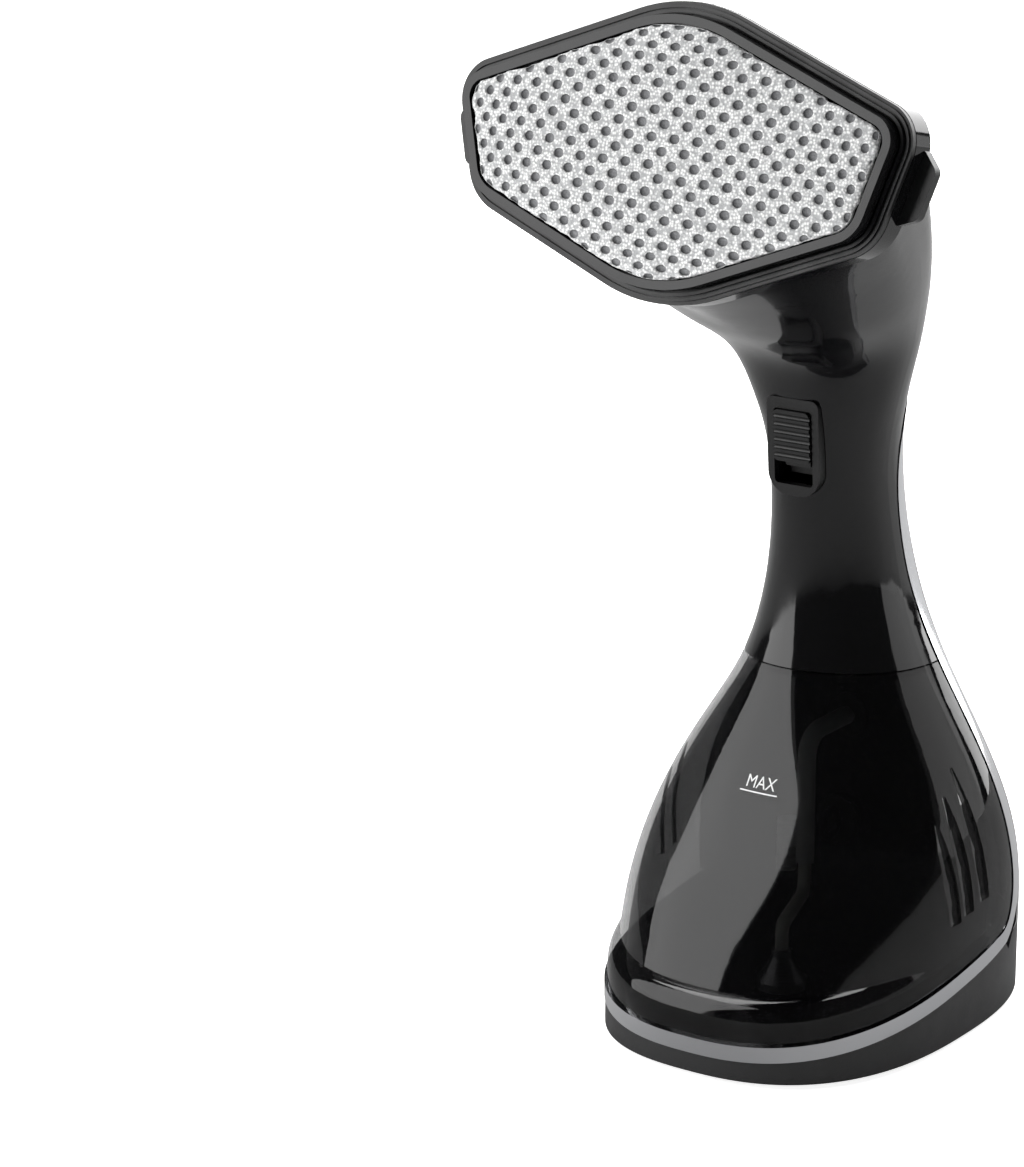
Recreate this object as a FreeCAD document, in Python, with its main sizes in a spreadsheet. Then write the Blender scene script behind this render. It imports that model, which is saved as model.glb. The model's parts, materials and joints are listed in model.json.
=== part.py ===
import FreeCAD, Part
import math
import os
from FreeCAD import Placement, Rotation, Vector

# Handheld garment steamer. Millimetres, +Z up, front towards -Y.
# The origin is the middle of the foot, on the surface that it stands on.

os.makedirs("parts", exist_ok=True)
doc = FreeCAD.newDocument("GarmentSteamer")
sheet = doc.addObject("Spreadsheet::Sheet", "Dimensions")

dimensions = {
    # foot, chrome band and the plane that the tank sits on
    "foot_half_width": 50.0, "foot_half_depth": 67.0, "foot_fullness": 2.5,
    "band_height": 11.7, "band_slope": 0.147, "band_width": 4.7,
    "wall": 2.4, "shut_gap": 0.3, "band_proud": 0.3, "band_thick": 1.8,
    "pad_radius": 6.0, "pad_height": 1.4, "pad_sink": 2.4, "pad_offset_x": 31.0, "pad_offset_y": 44.0,
    "screw_head_radius": 3.0, "screw_shank_radius": 1.5, "screw_length": 8.0,
    "screw_offset_x": 20.0, "screw_offset_y": 50.0, "foot_floor": 4.4,
    "boss_radius": 9.0,
    # trim strip that climbs the sides of the handle
    "trim_width": 7.6,
    # tank
    "seam_front": 104.6, "seam_slope": -0.075, "tank_wall": 2.4, "tank_floor": 2.6,
    "tank_back_y": 13.0, "tank_back_thick": 2.6, "ledge_rise": 11.3, "ledge_depth": 7.5,
    "outlet_height": 84.0, "outlet_radius": 4.2, "outlet_length": 12.0, "outlet_bore": 2.2,
    "outlet_flange": 6.4, "ring_minor": 0.7, "seat_radius": 7.6, "seat_length": 9.0, "seat_play": 1.2,
    "bay_wall_y": 20.4, "bay_wall_thick": 2.2, "bay_wall_inset": 6.0,
    "tube_x": 2.4, "tube_y": -10.0, "tube_radius": 2.6, "tube_bore": 1.5, "tube_foot": 46.0,
    "clip_x": -3.6, "clip_radius": 3.0, "clip_foot": 43.0, "clip_height": 15.0, "clip_pitch": 3.0,
    "hose_radius": 1.9, "weight_x": 13.5, "weight_y": -40.0, "weight_foot": 20.7,
    "weight_height": 11.0, "weight_radius": 7.0, "weight_neck": 2.8,
    "plug_x": 0.0, "plug_z": 52.0, "plug_radius": 7.0, "plug_flange": 8.8, "hook_major": 4.0,
    "hook_minor": 1.1,
    "rib_depth": 1.3,
    # head, measured in its own tilted plane
    "head_y": -83.0, "head_z": 263.0, "head_tilt": 11.9,
    "pad_upper_x": 63.6, "pad_upper_v": 8.2, "pad_lower_x": 56.5, "pad_lower_v": 16.7,
    "pad_top_v": 32.2, "pad_bottom_v": 39.0,
    "upper_corner": 4.5, "lower_corner": 8.0, "apex_corner": 40.0,
    "cloth_thick": 4.0, "frame_lip": 2.4, "frame_front": 1.2, "frame_back": 6.0,
    "rim_offset": 6.1, "rim_front": 6.2, "rim_flange": 1.5, "rim_depth": 12.0,
    "collar_offset": 6.2, "collar_back": 15.0, "collar_wall": 2.3,
    "plate_inset": 3.8, "plate_front": 4.6, "plate_thick": 2.2, "steam_hole_radius": 1.6,
    "steam_hole_pitch": 12.0, "chamber_depth": 2.6, "gasket_thick": 1.4, "heater_inset": 12.0,
    "heater_flange": 2.0, "heater_thick": 11.0, "cover_thick": 2.0, "element_radius": 2.8,
    "element_half_span": 26.0, "element_bend": 7.0, "thermostat_radius": 3.8,
    "thermostat_height": 6.0, "fuse_radius": 2.0, "fuse_length": 12.0, "fuse_x": 12.0,
    "catch_reach": 5.0, "catch_length": 19.6, "catch_tip": 13.0, "catch_thick": 2.8, "catch_depth": 12.2,
    "catch_middle": 13.5, "catch_corner": 2.6,
    # switch on the front of the handle, in its own plane
    "switch_y": -15.7, "switch_z": 168.0, "switch_lean": 4.2, "bezel_half_width": 8.2,
    "bezel_half_height": 14.0, "bezel_foot_corner": 6.6, "bezel_head_corner": 2.2, "bezel_proud": 1.1,
    "bezel_depth": 4.2, "bezel_plate": 2.2, "bezel_wall": 1.2,
    "window_half_width": 6.1, "window_half_height": 10.8, "slider_half_width": 5.7,
    "slider_height": 14.6, "slider_proud": 1.0, "slider_ribs": 6, "slider_groove": 0.7,
    "carrier_half_width": 6.4, "carrier_thick": 1.7, "carrier_foot": -2.0, "lip_half_width": 4.0,
    "lip_drop": 2.2,
    # works inside the body
    "pump_x": 0.0, "pump_y": 39.0, "pump_z": 38.0, "pump_radius": 12.0, "pump_height": 24.0,
    "coil_radius": 14.0, "coil_height": 12.0, "board_y": 4.0, "board_half_width": 9.0,
    "board_low": 122.0, "board_high": 158.0, "board_thick": 1.6, "micro_width": 8.0,
    "micro_height": 18.0, "micro_depth": 6.0, "terminal_width": 24.0, "terminal_depth": 12.0,
    "terminal_height": 9.0, "terminal_y": 38.0, "gland_z": 11.5, "gland_radius": 6.2, "gland_flange": 8.0,
    "gland_out": 4.0, "gland_in": 8.0, "gland_mouth": 3.6, "gland_mouth_depth": 3.0,
    "outlet_hose_radius": 2.6, "snap_width": 10.0, "snap_depth": 2.2,
    "snap_height": 5.0, "snap_x": 28.0, "snap_z": 45.0, "cover_screw_radius": 2.8,
    "cover_screw_length": 7.0, "cover_screw_low": 31.0, "cover_screw_high": 150.0,
}

# Cross-sections of the body from the sole to the head: y and z of the front edge, depth,
# tilt, half width, fullness of the oval and how much of the head's six-sided outline it has.
stations = {
    "sole": (-67.0, 0.0, 134.0, 0.0, 50.0, 2.5, 0.0),
    "skirt": (-61.5, 20.0, 128.8, 0.0, 49.7, 2.45, 0.0),
    "bulge": (-53.9, 40.0, 118.2, 0.0, 50.2, 2.4, 0.0),
    "belly": (-40.8, 60.0, 97.7, 0.0, 47.7, 2.3, 0.0),
    "shoulder": (-27.1, 80.0, 76.2, 0.0, 39.5, 2.2, 0.0),
    "collarbone": (-19.1, 100.0, 63.0, 0.0, 27.8, 2.15, 0.0),
    "waist": (-15.3, 120.0, 53.2, 0.0, 20.5, 2.1, 0.0),
    "grip": (-13.8, 140.0, 46.0, 0.0, 17.3, 2.1, 0.0),
    "thumb": (-15.3, 160.0, 43.6, 0.0, 16.6, 2.1, 0.0),
    "throat": (-16.1, 173.5, 40.8, 5.0, 19.7, 2.1, 0.0),
    "nape": (-22.0, 191.5, 42.9, 15.0, 28.1, 2.15, 0.0),
    "fan": (-41.4, 203.6, 52.5, 30.0, 40.2, 2.25, 0.15),
    "crown": (-62.3, 213.3, 61.4, 50.0, 53.5, 2.4, 0.55),
    "mouth": (-79.3, 217.9, 80.0, 78.1, 67.6, 2.7, 1.0),
}
station_fields = ("front", "height", "depth", "tilt", "half_width", "fullness", "facet")

# Front edge of the trim strip in side view, from the band up to the arch behind the handle.
trim_edge = [(22.0, 24.8), (27.2, 28.2), (29.3, 35.0), (28.5, 45.0), (23.8, 70.0), (22.3, 92.0),
             (20.8, 106.0), (16.2, 124.0), (13.6, 140.0), (13.3, 158.0), (14.6, 172.0),
             (19.0, 182.5), (27.0, 187.5), (42.0, 190.0)]
# Grip ribs on each side of the tank: y and z at the top, y and z at the foot.
grip_ribs = [(4.8, 77.4, 11.4, 39.2), (-2.3, 71.1, 2.7, 37.6), (-8.4, 65.0, -4.0, 36.2)]


def fill_sheet():
    """Write every driving dimension as a plain number with its alias."""
    cells = dict(dimensions)
    for station, values in stations.items():
        for field, value in zip(station_fields, values):
            cells["%s_%s" % (station, field)] = value
    for number, (y, z) in enumerate(trim_edge, start=1):
        cells["trim_edge_y_%d" % number] = y
        cells["trim_edge_z_%d" % number] = z
    for number, values in enumerate(grip_ribs, start=1):
        for field, value in zip(("top_y", "top_z", "foot_y", "foot_z"), values):
            cells["rib_%s_%d" % (field, number)] = value
    for row, (alias, value) in enumerate(cells.items(), start=1):
        sheet.set("A%d" % row, alias)
        sheet.set("B%d" % row, str(value))
        sheet.setAlias("B%d" % row, alias)
    doc.recompute()


fill_sheet()


def dim(alias):
    return float(sheet.get(alias))


def bind(obj, **expressions):
    """Tie properties to cells of the sheet."""
    for name, expression in expressions.items():
        obj.setExpression(name.replace("__", "."), expression)
    return obj


nodes = {}


def node(name, obj):
    """Register a finished sub-part under its label."""
    obj.Label = name
    nodes[name] = obj
    return obj


def feature(name, shape, placement=None):
    """A sub-part whose shape is worked out here from the sheet's sizes."""
    obj = doc.addObject("Part::Feature", name)
    obj.Shape = shape
    if placement is not None:
        obj.Placement = placement
    return node(name, obj)


# ---- outlines and skins -------------------------------------------------------------

SECTION_POINTS = 40
NECK_STEPS = 4
HALF_SPAN = 110.0
hexagon = [(0.0, 1.0), (1.0, 0.326), (0.888, -0.374), (0.0, -1.0), (-0.888, -0.374), (-1.0, 0.326)]
HEXAGON_SHARPNESS = 18.0


def oval_radius(angle, fullness):
    return (abs(math.cos(angle)) ** fullness + abs(math.sin(angle)) ** fullness) ** (-1.0 / fullness)


def hexagon_radius(angle):
    """Polar radius of the six-sided head outline, with softened corners."""
    total = 0.0
    for (ax, av), (bx, bv) in zip(hexagon, hexagon[1:] + hexagon[:1]):
        nx, nv = av - bv, bx - ax
        reach = nx * ax + nv * av
        cosine = (math.cos(angle) * nx + math.sin(angle) * nv) / reach
        total += max(cosine, 1e-6) ** HEXAGON_SHARPNESS
    return total ** (-1.0 / HEXAGON_SHARPNESS)


def closed_spline(points):
    curve = Part.BSplineCurve()
    curve.interpolate(points, PeriodicFlag=True)
    return Part.Wire(curve.toShape())


def angles():
    return [2.0 * math.pi * index / SECTION_POINTS for index in range(SECTION_POINTS)]


def station_values(station):
    """Front point, back point, half width, fullness and facet of one station."""
    tilt = math.radians(dim(station + "_tilt"))
    y, z, depth = dim(station + "_front"), dim(station + "_height"), dim(station + "_depth")
    return [y, z, y + depth * math.cos(tilt), z + depth * math.sin(tilt),
            dim(station + "_half_width"), dim(station + "_fullness"), dim(station + "_facet")]


def smooth_rows():
    """Values at the stations, with even steps between them where the neck turns into the head."""
    rows = [station_values(station) for station in stations]
    centres = [((row[0] + row[2]) / 2.0, (row[1] + row[3]) / 2.0) for row in rows]
    places = [0.0]
    for before, after in zip(centres, centres[1:]):
        places.append(places[-1] + math.dist(before, after))
    slopes = []
    for index in range(len(rows)):
        low, high = max(index - 1, 0), min(index + 1, len(rows) - 1)
        span = places[high] - places[low]
        slopes.append([(b - a) / span for a, b in zip(rows[low], rows[high])])
    neck = list(stations).index("throat")
    dense = rows[:neck]
    for index in range(neck, len(rows) - 1):
        span = places[index + 1] - places[index]
        for step in range(NECK_STEPS):
            part = step / NECK_STEPS
            ease = part * part * (3.0 - 2.0 * part)
            leave = span * part * (1.0 - part) ** 2
            arrive = span * part * part * (part - 1.0)
            row = [a + (b - a) * ease + m * leave + n * arrive
                   for a, b, m, n in zip(rows[index], rows[index + 1], slopes[index], slopes[index + 1])]
            dense.append(row)
    return dense + [rows[-1]]


def section_points(row, inset):
    """Points round one cross-section of the body, drawn in by inset."""
    front_y, front_z, back_y, back_z, half_width, fullness, facet = row
    half_depth = math.dist((front_y, front_z), (back_y, back_z)) / 2.0
    along = Vector(0, back_y - front_y, back_z - front_z) / (2.0 * half_depth)
    middle = Vector(0, (front_y + back_y) / 2.0, (front_z + back_z) / 2.0)
    points = []
    for angle in angles():
        radius = (1.0 - facet) * oval_radius(angle, fullness)
        radius += facet * hexagon_radius(angle)
        across = (half_width - inset) * radius * math.cos(angle)
        deep = (half_depth - inset) * radius * math.sin(angle)
        points.append(middle + Vector(across, 0, 0) + along * deep)
    return points


def skin(inset):
    """Solid of the whole body, drawn in by inset, with one smooth surface all round."""
    rows = smooth_rows()
    around = [index / SECTION_POINTS for index in range(SECTION_POINTS + 1)]
    ribs = []
    for row in rows:
        rib = Part.BSplineCurve()
        rib.interpolate(Points=section_points(row, inset), PeriodicFlag=True, Parameters=around)
        ribs.append(rib)
    climb = [0.0]
    for before, after in zip(rows, rows[1:]):
        step = math.dist((before[0] + before[2], before[1] + before[3]),
                         (after[0] + after[2], after[1] + after[3]))
        climb.append(climb[-1] + step / 2.0)
    grid = []
    for column in zip(*[rib.getPoles() for rib in ribs]):
        line = Part.BSplineCurve()
        line.interpolate(Points=list(column), Parameters=climb)
        grid.append(line.getPoles())
    surface = Part.BSplineSurface()
    surface.buildFromPolesMultsKnots(grid, ribs[0].getMultiplicities(), line.getMultiplicities(),
                                     ribs[0].getKnots(), line.getKnots(), True, False, 3, 3)
    side = surface.toShape()
    rings = [Part.Wire([edge]) for edge in side.Edges if edge.isClosed()]
    shell = Part.Shell([side] + [Part.Face(ring) for ring in rings])
    shell.sewShape()
    return Part.Solid(shell)


def band_level(y, rise=0.0):
    """Height of the slanting plane on top of the chrome band."""
    return dim("band_height") + dim("band_slope") * (y + dim("foot_half_depth")) + rise


def foot_wire(inset, rise=None, level=0.0):
    """Outline of the foot, flat at a level or lying on the slanting plane."""
    points = []
    for angle in angles():
        radius = oval_radius(angle, dim("foot_fullness"))
        x = (dim("foot_half_width") - inset) * radius * math.cos(angle)
        y = (dim("foot_half_depth") - inset) * radius * math.sin(angle)
        z = level if rise is None else band_level(y, rise)
        points.append(Vector(x, y, z))
    return closed_spline(points)


def foot_prism(inset, low, high):
    face = Part.Face(foot_wire(inset, None, low))
    return face.extrude(Vector(0, 0, high - low))


# ---- side-view regions that cut the skins into pieces -------------------------------

def side_edges(points, smooth):
    vectors = [Vector(-HALF_SPAN, y, z) for y, z in points]
    if not smooth:
        return [Part.makeLine(a, b) for a, b in zip(vectors, vectors[1:])]
    curve = Part.BSplineCurve()
    curve.interpolate(vectors)
    return [curve.toShape()]


def side_region(*runs):
    """Prism across the body over a side-view outline of straight and smooth runs."""
    edges = []
    for points, smooth in runs:
        edges.extend(side_edges(points, smooth))
    first = runs[0][0][0]
    last = runs[-1][0][-1]
    if math.dist(first, last) > 1e-6:
        edges.extend(side_edges([last, first], False))
    face = Part.Face(Part.Wire(edges))
    return face.extrude(Vector(2.0 * HALF_SPAN, 0, 0))


def trim_front(shift=0.0):
    """Front edge of the trim strip, moved back by shift."""
    count = len(trim_edge)
    points = []
    for number in range(1, count + 1):
        points.append((dim("trim_edge_y_%d" % number) + shift, dim("trim_edge_z_%d" % number)))
    return points


def trim_rear(shift=0.0):
    """Rear edge of the trim strip: the front edge set back by its width."""
    width = dim("trim_width")
    low = dim("band_width")
    points = []
    count = len(trim_edge)
    for number, (y, z) in enumerate(trim_front()):
        part = number / (count - 1.0)
        drop = low * (1.0 - min(1.0, number / 2.0)) + width * max(0.0, (part - 0.72) / 0.28) * 1.15
        back = width * min(1.0, 0.5 + 0.25 * number) * (1.0 - max(0.0, (part - 0.85) / 0.15))
        points.append((y + back + shift, z - drop - 0.5 * shift))
    points[0] = (points[0][0], band_level(points[0][0], -low))
    return points


def seam_level(y, rise=0.0):
    """Joint line between the tank and the handle."""
    return dim("seam_front") + dim("seam_slope") * (y - dim("tank_back_y")) - 2.0 + rise


FRONT_Y, TOE_Y, BACK_Y, TOP_Z = -130.0, -75.0, 100.0, 330.0


def slab_under(rise, rear_y):
    """Everything under the slanting plane moved up by rise, as far back as rear_y."""
    run = [(FRONT_Y, band_level(FRONT_Y, rise)), (rear_y, band_level(rear_y, rise)),
           (rear_y, -60.0), (FRONT_Y, -60.0)]
    return side_region((run, False))


def trim_region(gap):
    """Side view of the chrome: the band at the foot and the strip up to its arch."""
    front = trim_front(gap)
    rear = trim_rear(-gap)
    low = dim("band_width") - gap
    band_low = [(FRONT_Y, band_level(FRONT_Y, -low)), rear[0]]
    arch = [rear[-1], (BACK_Y, rear[-1][1]), (BACK_Y, front[-1][1]), front[-1]]
    band_top = [front[0], (FRONT_Y, band_level(FRONT_Y, -gap))]
    return side_region((band_low, False), (rear, True), (arch, False), (front[::-1], True), (band_top, False))


def tank_region():
    """Side view of the tank: above the band, in front of the strip, under the handle."""
    gap = dim("shut_gap")
    edge = [(y - gap, z) for y, z in trim_front() if z < dim("seam_front") - 6.0]
    last_y, last_z = edge[-1]
    top = seam_level(last_y, -gap / 2.0)
    floor = [(FRONT_Y, band_level(FRONT_Y, gap + 0.3)),
             (edge[0][0] - 1.0, band_level(edge[0][0] - 1.0, gap + 0.3))]
    edge[0] = floor[-1]
    lid = [(last_y, last_z), (last_y - 1.3, top), (FRONT_Y, seam_level(FRONT_Y, -gap / 2.0))]
    return side_region((floor, False), (edge, True), (lid, False))


def handle_region():
    """Side view of the front shell: in front of the strip and above the tank."""
    gap = dim("shut_gap")
    edge = [(y - gap / 2.0, z) for y, z in trim_front() if z > dim("seam_front") - 6.0]
    start = seam_level(edge[0][0], gap / 2.0)
    lid = [(FRONT_Y, seam_level(FRONT_Y, gap / 2.0)), (edge[0][0], start)]
    edge[0] = lid[-1]
    end_y, end_z = edge[-1]
    sky = [(end_y, end_z), (BACK_Y, end_z + 4.0), (BACK_Y, TOP_Z), (FRONT_Y, TOP_Z)]
    return side_region((lid, False), (edge, True), (sky, False))


def foot_top_edge():
    """Upper edge of the foot: under the band, a small notch, then level to the back."""
    low = dim("band_width") + dim("shut_gap") / 2.0
    notch_y = trim_rear()[0][0]
    return [(TOE_Y, band_level(TOE_Y, -low)), (notch_y, band_level(notch_y, -low)),
            (notch_y + 3.0, band_level(notch_y, -low) - 3.0), (notch_y + 7.0, band_level(notch_y, -low) + 0.8),
            (BACK_Y, band_level(notch_y, -low) + 2.2)]


def foot_region():
    low = dim("pad_height")
    return side_region((foot_top_edge() + [(BACK_Y, low), (TOE_Y, low)], False))


def rear_region():
    """Side view of the rear cover: behind the strip and above the foot."""
    gap = dim("shut_gap")
    seam = [(y, z + gap) for y, z in foot_top_edge()[3:]]
    strip = trim_rear(gap / 2.0)[2:]
    start = [seam[0], (strip[0][0], seam[0][1] + 1.5), strip[0]]
    end = [strip[-1], (BACK_Y, strip[-1][1]), seam[-1], seam[0]]
    return side_region((start, False), (strip, True), (end, False))


def slab(low_y, high_y):
    return Part.makeBox(2 * HALF_SPAN, high_y - low_y, TOP_Z, Vector(-HALF_SPAN, low_y, 0))


def biggest(shape):
    """The main solid of a cut, without the slivers beside it."""
    return max(shape.Solids, key=lambda solid: solid.Volume)


# ---- the head's own plane ------------------------------------------------------------

head_placement = Placement(Vector(0, dim("head_y"), dim("head_z")),
                           Rotation(Vector(1, 0, 0), 90.0 - dim("head_tilt")))


def rounded_wire(corners, level):
    """Straight-sided outline with an arc at every corner: corners are x, y, radius."""
    count = len(corners)
    starts, middles, ends = [], [], []
    for index, (x, y, radius) in enumerate(corners):
        here = Vector(x, y, level)
        before = Vector(corners[index - 1][0], corners[index - 1][1], level) - here
        after = Vector(corners[(index + 1) % count][0], corners[(index + 1) % count][1], level) - here
        half = before.getAngle(after) / 2.0
        before.normalize()
        after.normalize()
        reach = radius / math.tan(half)
        bisector = (before + after).normalize()
        starts.append(here + before * reach)
        ends.append(here + after * reach)
        middles.append(here + bisector * (radius / math.sin(half) - radius))
    edges = []
    for index in range(count):
        edges.append(Part.Arc(starts[index], middles[index], ends[index]).toShape())
        edges.append(Part.makeLine(ends[index], starts[(index + 1) % count]))
    return Part.Wire(edges)


def offset_corners(corners, offset):
    """Move every side of a clockwise outline outwards by offset."""
    count = len(corners)
    lines = []
    for index in range(count):
        ax, ay, _ = corners[index]
        bx, by, _ = corners[(index + 1) % count]
        length = math.hypot(bx - ax, by - ay)
        nx, ny = -(by - ay) / length, (bx - ax) / length
        lines.append((nx, ny, nx * ax + ny * ay + offset))
    moved = []
    for index in range(count):
        ax, ay, ac = lines[index - 1]
        bx, by, bc = lines[index]
        det = ax * by - ay * bx
        moved.append(((ac * by - ay * bc) / det, (ax * bc - ac * bx) / det,
                      max(corners[index][2] + offset, 1.0)))
    return moved


def head_corners(offset):
    upper, lower = dim("upper_corner"), dim("lower_corner")
    apex = dim("apex_corner")
    ux, uv = dim("pad_upper_x"), dim("pad_upper_v")
    lx, lv = dim("pad_lower_x"), -dim("pad_lower_v")
    outline = [(0.0, dim("pad_top_v"), apex), (ux, uv, upper), (lx, lv, lower),
               (0.0, -dim("pad_bottom_v"), apex), (-lx, lv, lower), (-ux, uv, upper)]
    return offset_corners(outline, offset)


def head_prism(offset, back, front):
    """Prism of the head outline between two depths behind the cloth's face."""
    face = Part.Face(rounded_wire(head_corners(offset), -back))
    return face.extrude(Vector(0, 0, back - front))


def placed(shape, placement):
    copy = shape.copy()
    copy.Placement = placement
    return copy


# ---- shells --------------------------------------------------------------------------

body_solid = skin(0.0)
wall = dim("wall")
inner_solid = skin(wall)
shell = body_solid.cut(inner_solid)
plinth = foot_prism(0.0, 0.0, 60.0)


def make_trim():
    proud, thick = dim("band_proud"), dim("band_thick")
    strip = skin(-proud).cut(skin(thick))
    ring = foot_prism(-proud, 0.0, 60.0).cut(foot_prism(thick, -1.0, 61.0)).common(slab_under(0.0, 30.0))
    front_cap = side_region(([(FRONT_Y, 60.0), (20.0, 60.0), (20.0, 0.0), (FRONT_Y, 0.0)], False))
    region = trim_region(dim("shut_gap") / 2.0)
    climbing = strip.cut(front_cap).common(region)
    chrome = climbing.fuse(ring.common(region))
    feature("trim_band", biggest(chrome))


def make_foot():
    outer = plinth.fuse(body_solid.common(slab(20.0, BACK_Y))).common(foot_region())
    cavity = foot_prism(dim("wall"), dim("foot_floor"), 70.0)
    boss = Part.makeCylinder(dim("boss_radius"), dim("foot_floor"))
    foot = outer.cut(cavity).fuse(boss)
    for x, y in corner_places("pad_offset_x", "pad_offset_y"):
        foot = foot.cut(Part.makeCylinder(dim("pad_radius"), dim("pad_sink"), Vector(x, y, 0)))
    for x, y in corner_places("screw_offset_x", "screw_offset_y"):
        foot = foot.cut(Part.makeCylinder(dim("screw_head_radius") + 0.2, dim("pad_sink"), Vector(x, y, 0)))
        foot = foot.cut(Part.makeCylinder(dim("screw_shank_radius"), 20.0, Vector(x, y, 0)))
    gland_start = Vector(0, dim("foot_half_depth") - 15.0, dim("gland_z"))
    gland_hole = Part.makeCylinder(dim("gland_radius"), 30.0, gland_start, Vector(0, 1, 0))
    feature("base_foot", biggest(foot.cut(gland_hole)))


def corner_places(alias_x, alias_y):
    return [(sx * dim(alias_x), sy * dim(alias_y)) for sy in (-1, 1) for sx in (-1, 1)]


def make_deck():
    """Black deck inside the band, under the tank."""
    inset = dim("band_thick") + 0.3
    plate = foot_prism(inset, 0.0, 60.0).common(slab_under(-0.4, 19.0)).cut(slab_under(-3.0, 60.0))
    feature("foot_deck", biggest(plate))


def make_rear_cover():
    cover = shell.common(rear_region())
    feature("rear_cover", biggest(cover))


def ledge():
    """Rounded step around the foot of the tank."""
    rise, deep = dim("ledge_rise"), dim("ledge_depth")
    profile = [(0.6, 0.3), (0.5, 0.42 * rise), (0.9, 0.66 * rise), (0.28 * deep, 0.86 * rise),
               (0.6 * deep, 0.97 * rise), (deep, rise)]
    wires = [foot_wire(inset, height) for inset, height in profile]
    return Part.makeLoft(wires, True, False)


def make_tank():
    gap = dim("shut_gap")
    region = tank_region()
    outer = body_solid.fuse(ledge()).common(region)
    inside = skin(dim("tank_wall"))
    back = dim("tank_back_y")
    above_floor = inside.cut(slab_under(gap + 0.3 + dim("tank_floor"), BACK_Y))
    lid = side_region(([(FRONT_Y, seam_level(FRONT_Y, -dim("tank_wall") - gap)),
                        (BACK_Y, seam_level(BACK_Y, -dim("tank_wall") - gap)),
                        (BACK_Y, TOP_Z), (FRONT_Y, TOP_Z)], False))
    cavity = above_floor.cut(lid)
    rear = back + dim("tank_back_thick")
    tank = outer.cut(cavity).cut(inside.common(slab(rear, BACK_Y)))
    for cutter in rib_cutters(body_solid):
        tank = tank.cut(cutter)
    feature("tank_shell", biggest(tank))
    plate = above_floor.common(slab(back, back + dim("tank_back_thick"))).cut(lid)
    plate = plate.common(region)
    bore_start = Vector(dim("tube_x"), back - 10.0, dim("outlet_height"))
    bore = Part.makeCylinder(dim("outlet_radius"), 30.0, bore_start, Vector(0, 1, 0))
    filler = Part.makeCylinder(dim("plug_radius"), 30.0, Vector(dim("plug_x"), back - 10.0, dim("plug_z")),
                               Vector(0, 1, 0))
    feature("tank_back", biggest(plate.cut(bore).cut(filler)))


def surface_x(solid, y, z):
    """Half width of a solid at one point of its side."""
    line = Part.makeLine(Vector(0, y, z), Vector(HALF_SPAN, y, z))
    return line.common(solid).BoundBox.XMax


def faceted(rings):
    """Solid through four-cornered rings, with flat triangles along its sides."""
    faces = [Part.Face(Part.makePolygon(ring + ring[:1])) for ring in (rings[0], rings[-1])]
    for ring, following in zip(rings, rings[1:]):
        for k in range(4):
            a, b = ring[k], ring[(k + 1) % 4]
            c, d = following[(k + 1) % 4], following[k]
            faces.append(Part.Face(Part.makePolygon([a, b, c, a])))
            faces.append(Part.Face(Part.makePolygon([a, c, d, a])))
    sides = Part.Shell(faces)
    sides.sewShape()
    solid = Part.Solid(sides)
    if solid.Volume < 0:
        solid.reverse()
    return solid


def rib_cutters(solid):
    """Saw-tooth steps: deep at the rear edge, running out towards the front."""
    cutters = []
    rows = [(0.0, 0.35, 1.2), (0.25, 0.9, 4.0), (0.6, 1.0, 5.6), (1.0, 1.0, 5.4)]
    for number in range(1, len(grip_ribs) + 1):
        top = Vector(0, dim("rib_top_y_%d" % number), dim("rib_top_z_%d" % number))
        foot = Vector(0, dim("rib_foot_y_%d" % number), dim("rib_foot_z_%d" % number))
        rings = []
        for part, depth, width in rows:
            point = top + (foot - top) * part
            back_x = surface_x(solid, point.y, point.z)
            fore_x = surface_x(solid, point.y - width, point.z)
            corners = [Vector(back_x + 2.0, point.y, point.z),
                       Vector(back_x - depth * dim("rib_depth"), point.y, point.z),
                       Vector(fore_x, point.y - width, point.z),
                       Vector(fore_x + 2.0, point.y - width, point.z)]
            rings.append(corners)
        cutters.append(faceted(rings))
        cutters.append(faceted([[Vector(-p.x, p.y, p.z) for p in ring] for ring in rings]))
    return cutters


def shield(offset, low, high):
    """Switch outline: small corners at the top, large ones at the foot."""
    half_width, half_height = dim("bezel_half_width"), dim("bezel_half_height")
    head, foot = dim("bezel_head_corner"), dim("bezel_foot_corner")
    corners = [(-half_width, half_height, head), (half_width, half_height, head),
               (half_width, -half_height, foot), (-half_width, -half_height, foot)]
    face = Part.Face(rounded_wire(offset_corners(corners, offset), low))
    return face.extrude(Vector(0, 0, high - low))


switch_placement = Placement(Vector(0, dim("switch_y"), dim("switch_z")),
                             Rotation(Vector(1, 0, 0), 90.0 + dim("switch_lean")))


def make_handle():
    collar = head_prism(dim("collar_offset"), dim("collar_back"), dim("rim_front") + dim("rim_flange") + 0.1)
    opening = head_prism(dim("collar_offset") - dim("collar_wall"), dim("collar_back") + 1.0, 0.0)
    collar_ring = placed(collar.cut(opening), head_placement)
    front = shell.common(handle_region())
    handle = front.fuse(collar_ring)
    mouth = head_prism(dim("collar_offset") - dim("collar_wall"), dim("collar_back") + 1.0, 0.0)
    handle = handle.cut(placed(mouth, head_placement).common(inner_cap()))
    handle = handle.cut(placed(shield(0.15, -12.0, 30.0), switch_placement))
    feature("handle_shell", biggest(handle))


def inner_cap():
    """Space in front of the mouth of the body, where the rim is fitted."""
    return placed(Part.makeBox(300, 300, 60, Vector(-150, -150, -dim("rim_depth") - 1.2)), head_placement)


# ---- pieces inside the tank ----------------------------------------------------------

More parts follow.
